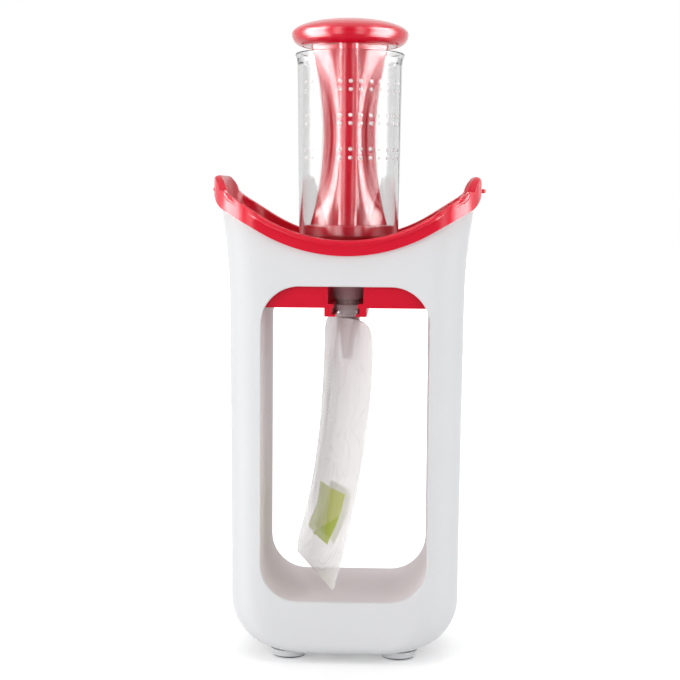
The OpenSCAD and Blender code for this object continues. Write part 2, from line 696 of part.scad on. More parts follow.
module pouch_bag() color(film) {
    depths = [for (s = [0, 1, 2.5, 5, 9, 14, 22, 32, 44, 58, 73, 89, 105, 119, 129]) pouch_top_z - s];
    shares = [for (a = [-90 : 15 : 90]) sin(a)];
    loft([for (z = concat([pouch_low_z], [for (i = [len(depths) - 1 : -1 : 0]) depths[i]]))
        let (w = pouch_half_w(z))
        [for (p = concat([for (y = shares) [pouch_half_t(z, y), y * w]],
                         [for (y = shares) [-pouch_half_t(z, y), -y * w]]))
            [p[0] * cos(pouch_turn) - p[1] * sin(pouch_turn) + pouch_x(z),
             p[0] * sin(pouch_turn) + p[1] * cos(pouch_turn), z]]]);
}

module pouch_spout() color(clear) {
    // Neck, collar and tail in one revolve, bored right through.
    rotate_extrude() polygon([
        [mouth_r, mouth_top_z], [mouth_r, flange_low_z], [neck_r, flange_low_z],
        [neck_r, collar_low_z + collar_t], [collar_r, collar_low_z + collar_t], [collar_r, collar_low_z],
        [neck_r, collar_low_z], [neck_r - tail_wall, pouch_top_z - boat_h], [tail_r, tail_low_z],
        [tail_r - tail_wall, tail_low_z], [spout_bore_r - tail_wall, pouch_top_z - boat_h],
        [spout_bore_r, pouch_top_z], [spout_bore_r, mouth_top_z]]);
    difference() {
        union() {
            translate([0, 0, flange_low_z]) intersection() {
                cylinder(r = norm([flange_half_w, flange_half_l]) - 1, h = flange_t);
                translate([-flange_half_w, -flange_half_l, 0])
                    cube([2 * flange_half_w, 2 * flange_half_l, flange_t]);
            }
            translate([0, 0, pouch_top_z - boat_h]) rotate(pouch_turn) intersection_for (side = [-1, 1])
                translate([side * (boat_r - boat_half_t), 0, 0]) cylinder(r = boat_r, h = boat_h);
        }
        translate([0, 0, tail_low_z]) cylinder(r = spout_bore_r + eps, h = mouth_top_z - tail_low_z);
    }
}

stand_body();
base_plate();
base_screws();
foot_pad_front_left();
foot_pad_front_right();
foot_pad_rear_left();
foot_pad_rear_right();
tray();
filling_tube();
outlet_seal();
press_knob();
press_stem();
piston_seal();
pouch_bag();
pouch_spout();
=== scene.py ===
import bmesh
import bpy
import math
from mathutils import Matrix, Vector, noise


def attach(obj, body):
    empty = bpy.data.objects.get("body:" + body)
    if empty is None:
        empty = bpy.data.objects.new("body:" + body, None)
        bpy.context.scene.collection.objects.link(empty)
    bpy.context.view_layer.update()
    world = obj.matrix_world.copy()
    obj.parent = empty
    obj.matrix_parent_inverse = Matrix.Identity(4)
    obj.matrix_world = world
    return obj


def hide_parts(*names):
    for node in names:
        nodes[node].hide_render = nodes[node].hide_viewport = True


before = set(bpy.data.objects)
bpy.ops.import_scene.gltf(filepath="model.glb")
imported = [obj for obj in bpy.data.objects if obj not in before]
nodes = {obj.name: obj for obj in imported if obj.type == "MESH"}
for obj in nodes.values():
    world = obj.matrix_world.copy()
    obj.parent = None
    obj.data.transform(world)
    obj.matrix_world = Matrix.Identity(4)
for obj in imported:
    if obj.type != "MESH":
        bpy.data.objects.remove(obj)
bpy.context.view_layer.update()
scene = bpy.context.scene
scene.view_settings.view_transform = "Standard"

MM = 0.001                   # shapes are drawn in millimetres, the scene is in metres
WHITE = (1.0, 1.0, 1.0)
RED = (0.71, 0.0015, 0.024)
BAY_SHADE_AND_BOUNCE = (0.97, 0.885, 0.88)    # painted shade and the tray's painted red bounce light on the white walls of the bay
SOFT = 0.52                  # level of the plain light from all round
BACK = 0.65                  # what the backdrop adds to it
FILM_COVER = 0.66            # how much the pouch's film hides


# ---------------------------------------------------------------- camera

def make_camera():
    """A camera in metres, with its focal length and frame in pixels."""
    azimuth, distance, height = math.radians(2.16), 0.84005, 0.23905
    roll, pitch, pan = math.radians(0.43), math.radians(5.16), math.radians(0.28)
    focal, frame_width, sensor = 1599.5, 680, 36
    place = Vector((distance * math.sin(azimuth), -distance * math.cos(azimuth), height))
    ahead = Matrix.Rotation(pan, 3, "Z") @ Vector((-math.sin(azimuth), math.cos(azimuth), 0))
    level_right = Vector((ahead.y, -ahead.x, 0))
    look = ahead * math.cos(pitch) - Vector((0, 0, 1)) * math.sin(pitch)
    level_up = level_right.cross(look)
    right = level_right * math.cos(roll) + level_up * math.sin(roll)
    up = level_up * math.cos(roll) - level_right * math.sin(roll)
    data = bpy.data.cameras.new("camera")
    data.sensor_fit = "HORIZONTAL"
    data.sensor_width = sensor
    data.lens = sensor * focal / frame_width
    data.clip_start, data.clip_end = 0.01, 50
    camera = link_object("camera", data)
    turn = Matrix((right, up, -look)).transposed()
    camera.matrix_world = Matrix.Translation(place) @ turn.to_4x4()
    scene.camera = camera


# ---------------------------------------------------------------- node helpers

def feed(nt, socket, value):
    """Sets a socket to a number or a colour, or links another socket to it."""
    if isinstance(value, (int, float)):
        socket.default_value = value
    elif isinstance(value, tuple):
        socket.default_value = (*value, 1)
    else:
        nt.links.new(value, socket)


def calc(nt, operation, *values):
    """A math node; each value is a socket or a plain number."""
    node = nt.nodes.new("ShaderNodeMath")
    node.operation = operation
    for k, value in enumerate(values):
        feed(nt, node.inputs[k], value)
    return node.outputs[0]


def product(nt, total, *others):
    for other in others:
        total = calc(nt, "MULTIPLY", total, other)
    return total


def inverse(nt, value):
    return calc(nt, "SUBTRACT", 1.0, value)


def bounced(nt, depth):
    """1 for a ray with at least one bounce of the kind that is counted, or else 0."""
    return calc(nt, "MINIMUM", depth, 1.0)


def step(nt, value, low, high, out_low=0.0, out_high=1.0):
    """A smooth step from out_low at low to out_high at high."""
    node = nt.nodes.new("ShaderNodeMapRange")
    node.interpolation_type = "SMOOTHSTEP"
    nt.links.new(value, node.inputs["Value"])
    node.inputs["From Min"].default_value = low
    node.inputs["From Max"].default_value = high
    node.inputs["To Min"].default_value = out_low
    node.inputs["To Max"].default_value = out_high
    return node.outputs["Result"]


def step_degrees(nt, angle, low, high):
    return step(nt, angle, math.radians(low), math.radians(high))


def split_xyz(nt, vector):
    node = nt.nodes.new("ShaderNodeSeparateXYZ")
    nt.links.new(vector, node.inputs[0])
    return node.outputs


def blend_colour(nt, factor, a, b, mode="MIX"):
    node = nt.nodes.new("ShaderNodeMix")
    node.data_type = "RGBA"
    node.blend_type = mode
    for k, value in ((0, factor), (6, a), (7, b)):
        feed(nt, node.inputs[k], value)
    return node.outputs[2]


def choose_shader(nt, out, factor, plain, other):
    """Sends the plain shader to the output, and the other one where the factor is 1."""
    mix = nt.nodes.new("ShaderNodeMixShader")
    nt.links.new(factor, mix.inputs[0])
    nt.links.new(plain.outputs[0], mix.inputs[1])
    nt.links.new(other.outputs[0], mix.inputs[2])
    nt.links.new(mix.outputs[0], out.inputs["Surface"])


def find_node(nt, kind):
    return next(n for n in nt.nodes if n.type == kind)


def source_of(socket):
    return socket.links[0].from_socket


# ---------------------------------------------------------------- studio

def make_world():
    """White for the camera, a plain light for matt surfaces and a studio for glossy ones."""
    world = bpy.data.worlds.new("studio")
    scene.world = world
    world.use_nodes = True
    nt = world.node_tree
    nt.nodes.clear()
    out = nt.nodes.new("ShaderNodeOutputWorld")
    path = nt.nodes.new("ShaderNodeLightPath")
    where = nt.nodes.new("ShaderNodeTexCoord")
    x, y, z = split_xyz(nt, where.outputs["Generated"])
    # What glossy surfaces see: white behind and above, dark on the camera's side, and a
    # narrow strip and a tall soft box to the left and to the right of it.
    dark, pale = 0.03, 0.9
    back = step(nt, y, -0.6, 0.5, dark, pale)
    above = step(nt, z, 0.35, 0.95, 0.0, pale)
    side = calc(nt, "ARCTAN2", calc(nt, "ABSOLUTE", x), calc(nt, "MULTIPLY", y, -1.0))
    rise = calc(nt, "ARCSINE", z)
    tall = product(nt, step_degrees(nt, rise, -52, -34), step_degrees(nt, rise, 68, 46))

    def soft_box(fade_in, fade_out, left, right):
        """A band between two fades, in degrees from the front, with a level on each side."""
        wide = product(nt, step_degrees(nt, side, *fade_in), step_degrees(nt, side, *fade_out))
        return product(nt, wide, tall, step(nt, x, -0.02, 0.02, left, right))

    narrow = soft_box(fade_in=(12, 19), fade_out=(36, 27), left=4.5, right=3.5)
    broad = soft_box(fade_in=(40, 58), fade_out=(108, 86), left=18.0, right=16.0)
    boxes = calc(nt, "ADD", narrow, broad)
    studio = calc(nt, "ADD", calc(nt, "MAXIMUM", back, above), boxes)
    # Matt surfaces get a plain light, stronger from the white backdrop behind the object.
    soft = step(nt, y, -0.2, 0.7, SOFT, SOFT + BACK)
    # The camera sees white, also through the clear tube.
    sharp = calc(nt, "MAXIMUM", path.outputs["Is Glossy Ray"],
                 path.outputs["Is Transmission Ray"])
    sharp = calc(nt, "MAXIMUM", sharp, path.outputs["Is Camera Ray"])
    sharp = product(nt, sharp, inverse(nt, bounced(nt, path.outputs["Diffuse Depth"])))
    shiny = product(nt, sharp, bounced(nt, path.outputs["Glossy Depth"]))
    seen = calc(nt, "SUBTRACT", sharp, shiny)
    matt = product(nt, inverse(nt, sharp), soft)
    level = calc(nt, "ADD", calc(nt, "MULTIPLY_ADD", shiny, studio, matt), seen)
    sky = nt.nodes.new("ShaderNodeBackground")
    sky.inputs["Color"].default_value = (*WHITE, 1)
    nt.links.new(level, sky.inputs["Strength"])
    nt.links.new(sky.outputs[0], out.inputs["Surface"])


def area_lamp(name, place, aim, size, power):
    data = bpy.data.lights.new(name, "AREA")
    data.shape = "RECTANGLE"
    data.size, data.size_y = size
    data.energy = power
    lamp = link_object(name, data)
    lamp.location = place
    towards = Vector(aim) - Vector(place)
    lamp.rotation_euler = towards.to_track_quat("-Z", "Y").to_euler()
    lamp.visible_glossy = False


def make_floor():
    """Pale paper that keeps the object's shadow, with a painted glow that turns it white away
    from the object.
    """
    half, below = 6, 0.0002
    mesh = bpy.data.meshes.new("floor")
    corners = [(-half, -half, 0), (half, -half, 0), (half, half, 0), (-half, half, 0)]
    mesh.from_pydata(corners, [], [(0, 1, 2, 3)])
    floor = link_object("floor", mesh)
    floor.location.z = -below
    mat = bpy.data.materials.new("floor")
    mat.use_nodes = True
    nt = mat.node_tree
    nt.nodes.clear()
    out = nt.nodes.new("ShaderNodeOutputMaterial")
    path = nt.nodes.new("ShaderNodeLightPath")
    paper = nt.nodes.new("ShaderNodeBsdfDiffuse")
    paper.inputs["Color"].default_value = (0.84, 0.84, 0.845, 1)
    # A painted glow, seen by the camera and through clear parts, makes it brighter away from
    # the object and leaves it dimmer near it.
    where = nt.nodes.new("ShaderNodeTexCoord")
    away = nt.nodes.new("ShaderNodeVectorMath")
    away.operation = "LENGTH"
    nt.links.new(where.outputs["Object"], away.inputs[0])
    near, far, near_painted_glow, far_painted_glow = 0.1, 0.4, 0.32, 1.1
    level = step(nt, away.outputs["Value"], near, far, near_painted_glow, far_painted_glow)
    after_gloss = bounced(nt, path.outputs["Glossy Depth"])
    seen = calc(nt, "MAXIMUM", path.outputs["Is Camera Ray"],
                path.outputs["Is Transmission Ray"])
    seen = product(nt, seen, inverse(nt, after_gloss))
    painted_glow = nt.nodes.new("ShaderNodeEmission")
    nt.links.new(product(nt, seen, level), painted_glow.inputs["Strength"])
    both = nt.nodes.new("ShaderNodeAddShader")
    nt.links.new(paper.outputs[0], both.inputs[0])
    nt.links.new(painted_glow.outputs[0], both.inputs[1])
    # Reflections look past the paper, so that it doesn't veil the red parts.
    sharp = calc(nt, "MAXIMUM", path.outputs["Is Glossy Ray"],
                 path.outputs["Is Transmission Ray"])
    see_through = nt.nodes.new("ShaderNodeBsdfTransparent")
    choose_shader(nt, out, product(nt, after_gloss, sharp), both, see_through)
    mesh.materials.append(mat)


# ---------------------------------------------------------------- materials

def plastic(name, colour, rough, spread=0.02, grain=0.0, grain_size=0.0006, **more):
    """Moulded plastic: a slow drift of colour and gloss, and a fine skin texture."""
    drift_scale, drift_detail, drift_ends = 9, 3, (0.3, 0.7)
    gloss_low, gloss_high, skin_detail = 0.88, 1.12, 2
    mat = bpy.data.materials.new(name)
    mat.use_nodes = True
    nt = mat.node_tree
    nt.nodes.clear()
    out = nt.nodes.new("ShaderNodeOutputMaterial")
    bsdf = nt.nodes.new("ShaderNodeBsdfPrincipled")
    nt.links.new(bsdf.outputs[0], out.inputs["Surface"])
    where = nt.nodes.new("ShaderNodeTexCoord")
    drift = nt.nodes.new("ShaderNodeTexNoise")
    drift.inputs["Scale"].default_value = drift_scale
    drift.inputs["Detail"].default_value = drift_detail
    nt.links.new(where.outputs["Object"], drift.inputs["Vector"])
    ramp = nt.nodes.new("ShaderNodeValToRGB")
    for k, factor in enumerate((1 - spread, 1 + spread)):
        ramp.color_ramp.elements[k].position = drift_ends[k]
        ramp.color_ramp.elements[k].color = (*(min(1, c * factor) for c in colour), 1)
    nt.links.new(drift.outputs["Fac"], ramp.inputs[0])
    nt.links.new(ramp.outputs[0], bsdf.inputs["Base Color"])
    gloss = nt.nodes.new("ShaderNodeMapRange")
    gloss.inputs["To Min"].default_value = rough * gloss_low
    gloss.inputs["To Max"].default_value = rough * gloss_high
    nt.links.new(drift.outputs["Fac"], gloss.inputs["Value"])
    nt.links.new(gloss.outputs[0], bsdf.inputs["Roughness"])
    if grain:
        skin = nt.nodes.new("ShaderNodeTexNoise")
        skin.inputs["Scale"].default_value = 1 / grain_size
        skin.inputs["Detail"].default_value = skin_detail
        nt.links.new(where.outputs["Object"], skin.inputs["Vector"])
        bump = nt.nodes.new("ShaderNodeBump")
        bump.inputs["Strength"].default_value = grain
        bump.inputs["Distance"].default_value = grain_size / 4
        nt.links.new(skin.outputs["Fac"], bump.inputs["Height"])
        nt.links.new(bump.outputs[0], bsdf.inputs["Normal"])
    for key, value in more.items():
        bsdf.inputs[key.replace("_", " ")].default_value = value
    return mat


def paint_bay_shade_and_bounce(mat):
    """Paints shade and the tray's red bounce light onto the white inside the bay, between the
    fades of x, y and z in metres.
    """
    nt = mat.node_tree
    base = find_node(nt, "BSDF_PRINCIPLED").inputs["Base Color"]
    colour = source_of(base)
    where = nt.nodes.new("ShaderNodeTexCoord")
    x, y, z = split_xyz(nt, where.outputs["Object"])
    inside = product(nt, step(nt, calc(nt, "ABSOLUTE", x), 0.0434, 0.0430),
                     step(nt, calc(nt, "ABSOLUTE", y), 0.0383, 0.0368),
                     step(nt, z, 0.0312, 0.0318))
    # painted shade and red bounce light inside the bay
    tone = blend_colour(nt, inside, WHITE, BAY_SHADE_AND_BOUNCE)
    nt.links.new(blend_colour(nt, 1.0, colour, tone, "MULTIPLY"), base)


def clear_plastic(name, tint, rough):
    """Clear moulded plastic that lets the lamps' light through to what stands in it."""
    frost_high, frost_low, frost_rough, frost_cover = 0.203, 0.199, 0.4, 0.6
    mat = plastic(name, tint, rough, spread=0.01, Transmission_Weight=1.0, IOR=1.46,
                  Specular_Tint=(0.16, 0.16, 0.16, 1))
    nt = mat.node_tree
    out = find_node(nt, "OUTPUT_MATERIAL")
    bsdf = find_node(nt, "BSDF_PRINCIPLED")
    # The funnel and outlet are thick and frosted; their pink tint is a painted reflection of
    # the red tray.
    where = nt.nodes.new("ShaderNodeTexCoord")
    z = split_xyz(nt, where.outputs["Object"])[2]
    frost = step(nt, z, frost_high, frost_low)
    colour = source_of(bsdf.inputs["Base Color"])
    # frosted whiteness, plus a painted pink reflection of the red tray
    nt.links.new(blend_colour(nt, frost, colour, (1.0, 0.84, 0.86)), bsdf.inputs["Base Color"])
    nt.links.new(calc(nt, "MULTIPLY_ADD", frost, -frost_cover, 1.0),
                 bsdf.inputs["Transmission Weight"])
    gloss = source_of(bsdf.inputs["Roughness"])
    nt.links.new(calc(nt, "MAXIMUM", gloss, product(nt, frost, frost_rough)),
                 bsdf.inputs["Roughness"])
    path = nt.nodes.new("ShaderNodeLightPath")
    through = nt.nodes.new("ShaderNodeBsdfTransparent")
    through.inputs["Color"].default_value = (0.93, 0.94, 0.94, 1)
    choose_shader(nt, out, path.outputs["Is Shadow Ray"], bsdf, through)
    return mat


def paint(obj, mat):
    obj.data.materials.clear()
    obj.data.materials.append(mat)


def paint_node(name, mat):
    for slot in nodes[name].material_slots:
        slot.material = mat


# ---------------------------------------------------------------- mesh helpers

def link_object(name, data):
    obj = bpy.data.objects.new(name, data)
    scene.collection.objects.link(obj)
    return obj


def new_object(name, verts, faces):
    mesh = bpy.data.meshes.new(name)
    mesh.from_pydata([tuple(c * MM for c in v) for v in verts], [], faces)
    mesh.validate()
    obj = link_object(name, mesh)
    bm = bmesh.new()
    bm.from_mesh(mesh)
    bmesh.ops.recalc_face_normals(bm, faces=bm.faces)
    bm.to_mesh(mesh)
    bm.free()
    return obj


def arc(cx, cz, r, start, end, n):
    """Points along an arc, with its angles in degrees."""
    angles = [math.radians(start + (end - start) * i / n) for i in range(n + 1)]
    return [(cx + r * math.cos(a), cz + r * math.sin(a)) for a in angles]


def round_rect(w, d, r):
    """A rectangle with half sizes w and d and corners of radius r."""
    n = 24
    return (arc(w - r, d - r, r, 0, 90, n) + arc(r - w, d - r, r, 90, 180, n)
            + arc(r - w, r - d, r, 180, 270, n) + arc(w - r, r - d, r, 270, 360, n))


def mirrored(half):
    """A curve from left to right, given its right half from x = 0 outwards."""
    return [(-x, z) for x, z in reversed(half)][:-1] + half


def loft(name, rings):
    """A closed solid through rings of points, with flat ends."""
    n, m = len(rings[0]), len(rings)
    verts = [p for ring in rings for p in ring]
    faces = [(j * n + i, j * n + (i + 1) % n, (j + 1) * n + (i + 1) % n, (j + 1) * n + i)
             for j in range(m - 1) for i in range(n)]
    faces += [tuple(range(n - 1, -1, -1)), tuple(range((m - 1) * n, m * n))]
    return new_object(name, verts, faces)


def prism(name, outline, half):
    """A drawing in X and Z made solid from y = -half to y = half."""
    n = len(outline)
    verts = [(x, -half, z) for x, z in outline] + [(x, half, z) for x, z in outline]
    faces = [(i, (i + 1) % n, n + (i + 1) % n, n + i) for i in range(n)]
    faces += [tuple(range(n - 1, -1, -1)), tuple(range(n, 2 * n))]
    return new_object(name, verts, faces)


def revolve(name, outline):
    """A solid of revolution about Z through (r, z) points; points on the axis are shared."""
    steps, on_axis = 128, 1e-6
    verts, faces, rows = [], [], []
    turns = [2 * math.pi * k / steps for k in range(steps)]
    for r, z in outline:
        if r < on_axis:
            rows.append([len(verts)] * steps)
            verts.append((0, 0, z))
        else:
            rows.append(list(range(len(verts), len(verts) + steps)))
            verts += [(r * math.cos(a), r * math.sin(a), z) for a in turns]
    closed = outline[0][0] > on_axis or outline[-1][0] > on_axis
    for j in range(len(rows) if closed else len(rows) - 1):
        a, b = rows[j], rows[(j + 1) % len(rows)]
        for k in range(steps):
            face = [a[k], a[(k + 1) % steps], b[(k + 1) % steps], b[k]]
            face = [v for i, v in enumerate(face) if v not in face[:i]]
            if len(face) > 2:
                faces.append(tuple(face))
    return new_object(name, verts, faces)


def apply_all(obj):
    """Applies an object's modifiers to its mesh."""
    deps = bpy.context.evaluated_depsgraph_get()
    mesh = bpy.data.meshes.new_from_object(obj.evaluated_get(deps))
    obj.modifiers.clear()
    old = obj.data
    obj.data = mesh
    bpy.data.meshes.remove(old)
    mesh.name = obj.name


def cut(obj, tool):
    mod = obj.modifiers.new("cut", "BOOLEAN")
    mod.operation = "DIFFERENCE"
    mod.solver = "EXACT"
    mod.object = tool
    apply_all(obj)
    bpy.data.objects.remove(tool)


def join(name, *objs):
    """One object from several, in the order given."""
    bm = bmesh.new()
    for obj in objs:
        bm.from_mesh(obj.data)
    mesh = bpy.data.meshes.new(name)
    bm.to_mesh(mesh)
    bm.free()
    for obj in objs:
        bpy.data.objects.remove(obj)
    return link_object(name, mesh)


def soften(obj, smooth, bevel=0.0):
    """Bevels the sharp edges, if asked to, and shades angles below smooth degrees as round."""
    bevel_angle, flat_weight = 38, 70
    if bevel:
        mod = obj.modifiers.new("round", "BEVEL")
        mod.width = bevel * MM
        mod.segments = 2
        mod.limit_method = "ANGLE"
        mod.angle_limit = math.radians(bevel_angle)
        mod.use_clamp_overlap = True
        mod.miter_outer = "MITER_ARC"
        apply_all(obj)
    obj.data.shade_smooth()
    obj.data.set_sharp_from_angle(angle=math.radians(smooth))
    mod = obj.modifiers.new("normals", "WEIGHTED_NORMAL")
    mod.keep_sharp = True
    mod.weight = flat_weight
    apply_all(obj)


def cad_copy(name, node):
    """A copy of a CAD node's mesh with its points merged and its flat areas joined."""
    merge, flat = 0.002, 0.4
    bm = bmesh.new()
    bm.from_mesh(nodes[node].data)
    bmesh.ops.remove_doubles(bm, verts=bm.verts, dist=merge * MM)
    bmesh.ops.dissolve_limit(bm, angle_limit=math.radians(flat), verts=bm.verts,
                             edges=bm.edges, delimit=set())
    mesh = bpy.data.meshes.new(name)
    bm.to_mesh(mesh)
    bm.free()
    return link_object(name, mesh)


def ease(t):
    """A smooth step from 0 to 1."""
    t = min(1.0, max(0.0, t))
    return t * t * (3 - 2 * t)


# ---------------------------------------------------------------- stand

WALL_LOW = 4                 # underside of the stand's walls
FOOT_R, EDGE_R = 26, 6       # how its sides and its faces round in towards the foot
HALF_W, HALF_D, CORNER_R = 58.9, 39.6, 22
TAPER_Z, TAPER = 26, 0.0095
FLARE_Z, FLARE_R = 184, 327


def side_w(z):
    """The stand's half width: a slight taper, and a flare below the saddle."""
    return HALF_W + TAPER * (z - TAPER_Z) + max(0, z - FLARE_Z) ** 2 / 2 / FLARE_R


def drawn_in(r, h):
    """How far a round edge of radius r lies inside its wall at height h."""
    return 0 if h >= r else r - math.sqrt(r * r - (r - h) ** 2)


def stand_ring(z):
    h = z - WALL_LOW
    w, d = side_w(z) - drawn_in(FOOT_R, h), HALF_D - drawn_in(EDGE_R, h)
    return [(x, y, z) for x, y in round_rect(w, d, CORNER_R)]


def saddle_half(low, r, curl, end, slope, n=60, m=24):
    """An arc, a straight at the slope given and a curl that ends upright."""
    s = math.radians(slope)
    run = end - curl + (curl - r) * math.sin(s)
    kx, kz = end - curl, low + r - (r - curl) * math.cos(s) + run * math.tan(s)
    return arc(0, low + r, r, -90, slope - 90, n) + arc(kx, kz, curl, slope - 90, 0, m)


def make_stand(mat):
    foot_top, clear_of_top = WALL_LOW + FOOT_R, 270
    foot_steps, wall_steps, flare_steps, flare_rise = 24, 6, 21, 3
    levels = [WALL_LOW + FOOT_R * (1 - math.cos(math.radians(90 * i / foot_steps)))
              for i in range(foot_steps + 1)]
    levels += [foot_top + (FLARE_Z - foot_top) * i / wall_steps
               for i in range(1, wall_steps + 1)]
    levels += [FLARE_Z + flare_rise * i for i in range(1, flare_steps + 1)]
    stand = loft("stand_shell", [stand_ring(z) for z in levels])
    # The bay's windows, with a small round along their edges.
    window_low, window_high, window_w, corner, fillet = 32.1, 193.4, 42.6, 19.5, 1.1
    mid_z, half_h = (window_low + window_high) / 2, (window_high - window_low) / 2
    rounds = [math.radians(a) for a in (8, 30, 50, 70, 90)]
    rows = [(fillet, -HALF_D - 2)]
    rows += [(fillet * (1 - math.sin(a)), -HALF_D + fillet * (1 - math.cos(a)))
             for a in rounds]
    rows += [(grow, -y) for grow, y in reversed(rows)]
    rings = [[(x, y, z + mid_z)
              for x, z in round_rect(window_w + grow, half_h + grow, corner + grow)]
             for grow, y in rows]
    cut(stand, loft("tool", rings))
    # Within its walls the stand is open upwards, for the tray's drop box.
    wall = 2.4
    well = [(-window_w, mid_z), (window_w, mid_z),
            (window_w, clear_of_top), (-window_w, clear_of_top)]
    cut(stand, prism("tool", well, HALF_D - wall))
    # The tray's saddle.
    saddle_w = 68.4
    top = mirrored(saddle_half(low=208.9, r=86, curl=12, end=saddle_w, slope=29.7))
    top += [(saddle_w, clear_of_top), (-saddle_w, clear_of_top)]
    cut(stand, prism("tool", top, HALF_D + 1))
    # The base plate's recess.
    recess = [[(x, y, z) for x, y in round_rect(39.2, 32.7, 19.6)] for z in (3, 6.4)]
    cut(stand, loft("tool", recess))
    soften(stand, 28)
    paint(stand, mat)
    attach(stand, "stand")
    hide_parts("stand_body")


# ---------------------------------------------------------------- tray

def rim_path(side):
    """The rim's edge as (x, z, y) points, from ear to ear, on the front or the rear side."""
    roll_end, inset = 243, 0.75
    flat_x, flat_y, corner_y, corner_r = 44.4, 41.6, 17.6, 24
    ear_top, shoulder_y, shoulder_r, shoulder_from = 249.08, 19.5, 12, 4
    half = saddle_half(low=216.3, r=82, curl=8, end=61.4, slope=32.7, n=40, m=14)
    path = []
    for x, z in mirrored([(x, z) for x, z in half if z < roll_end]):
        y = flat_y
        if abs(x) >= flat_x:
            y = corner_y + math.sqrt(max(0, corner_r ** 2 - (abs(x) - flat_x) ** 2))
        lift = z - (ear_top - shoulder_r)
        if lift > shoulder_from:
            y = min(y, shoulder_y + math.sqrt(max(0, shoulder_r ** 2 - lift ** 2)))
        path.append((x, z, side * (y - inset)))
    return path


def rim_roll(side):
    """The rounded roll along the tray's front or rear edge, thinner at its ends."""
    offset, thin, swell, fade, around = 1.1, 0.5, 1.1, 9, 12
    path = rim_path(side)
    last = len(path) - 1
    points = []
    for k, (x, z, y) in enumerate(path):
        (xa, za, _), (xb, zb, _) = path[max(0, k - 1)], path[min(last, k + 1)]
        long = math.hypot(xb - xa, zb - za)
        points.append(Vector((x + (zb - za) / long * offset, y, z - (xb - xa) / long * offset)))
    rings = []
    for k, point in enumerate(points):
        radius = thin + swell * ease(min(k, last - k) / fade)
        ahead = (points[min(last, k + 1)] - points[max(0, k - 1)]).normalized()
        out = Vector((0, side, 0))
        out = (out - ahead * out.dot(ahead)).normalized()
        up = ahead.cross(out)
        rings.append([tuple(point + radius * (math.cos(a) * out + math.sin(a) * up))
                      for a in (2 * math.pi * i / around for i in range(around))])
    return loft("rim_roll", rings)


def make_tray(mat):
    body = cad_copy("tray_moulding", "tray")
    soften(body, 32, bevel=0.5)
    rolls = [rim_roll(side) for side in (-1, 1)]
    for roll in rolls:
        soften(roll, 60)
    tray = join("tray_moulding", body, *rolls)
    paint(tray, mat)
    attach(tray, "stand")
    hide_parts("tray")


# ---------------------------------------------------------------- press

STEM_LOW, STEM_HIGH = 223.5, 316.4


def stem_quarter(z):
    """A quarter of the stem's section: two half ribs and the hollow flute between them."""
    steps, rib_half, edge = 22, 4.4, 1
    waist_reach, end_reach = 13.7, 20.4
    waist_dip, end_dip = 5.6, 0.8
    crown = [(0.35, 0.1), (0.7, 0.35)]    # share of the rib's half width, and its drop there
    u = (z - (STEM_LOW + STEM_HIGH) / 2) / ((STEM_HIGH - STEM_LOW) / 2)
    reach = waist_reach + (end_reach - waist_reach) * u * u
    tip = reach - edge
    half_chord = (tip - rib_half) / math.sqrt(2)
    dip = end_dip + (waist_dip - end_dip) * (1 - u * u)
    r = (half_chord * half_chord + dip * dip) / (2 * dip)
    middle = ((tip + rib_half) / math.sqrt(2) - dip + r) / math.sqrt(2)
    half = math.degrees(math.asin(min(1, half_chord / r)))
    if dip > r:
        half = 180 - half
    points = [(reach, 0)] + [(reach - drop, rib_half * share) for share, drop in crown]
    for i in range(steps + 1):
        a = math.radians(225 + half * (1 - 2 * i / steps))
        points.append((middle + r * math.cos(a), middle + r * math.sin(a)))
    return points + [(rib_half * share, reach - drop) for share, drop in reversed(crown)]


def make_stem(mat):
    levels, rings = 48, []
    for j in range(levels + 1):
        z = STEM_LOW + (STEM_HIGH - STEM_LOW) * j / levels
        ring = []
        for cos, sin in ((1, 0), (0, 1), (-1, 0), (0, -1)):
            ring += [(x * cos - y * sin, x * sin + y * cos, z) for x, y in stem_quarter(z)]
        rings.append(ring)
    ribs = loft("ribs", rings)
    # The piston's nose has the funnel's slope, and a groove round it holds the seal.
    slope = (211.7 - 200.5) / (24.4 - 6.2)
    nose_r, r, edge_z, top_z, top_round = 5.6, 23.9, 212.2, 224, 1
    groove_depth, groove_low, groove_high = 1.9, 214.8, 218.8
    nose_z = edge_z - (r - nose_r) * slope
    outline = [(0, nose_z), (nose_r, nose_z), (r, edge_z), (r, groove_low),
               (r - groove_depth, groove_low), (r - groove_depth, groove_high),
               (r, groove_high)]
    outline += arc(r - top_round, top_z - top_round, top_round, 0, 90, 4) + [(0, top_z)]
    piston = revolve("piston", outline)
    # The disc closes the knob from below.
    disc = revolve("disc", [(0, 315.9), (23.9, 315.9), (24.3, 316.3), (24.3, 318.4),
                            (25.3, 318.4), (24.3, 319.4), (0, 319.4)])
    stem = join("press_stem_moulding", ribs, piston, disc)
    soften(stem, 40)
    paint(stem, mat)
    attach(stem, "press")
    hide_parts("press_stem")


# ---------------------------------------------------------------- tube

def tube_r(z):
    """The tube's outer radius, which grows slightly upwards."""
    bore, wall, draft, low = 24.4, 1.35, 0.0135, 205
    return bore + wall + draft * (z - low)


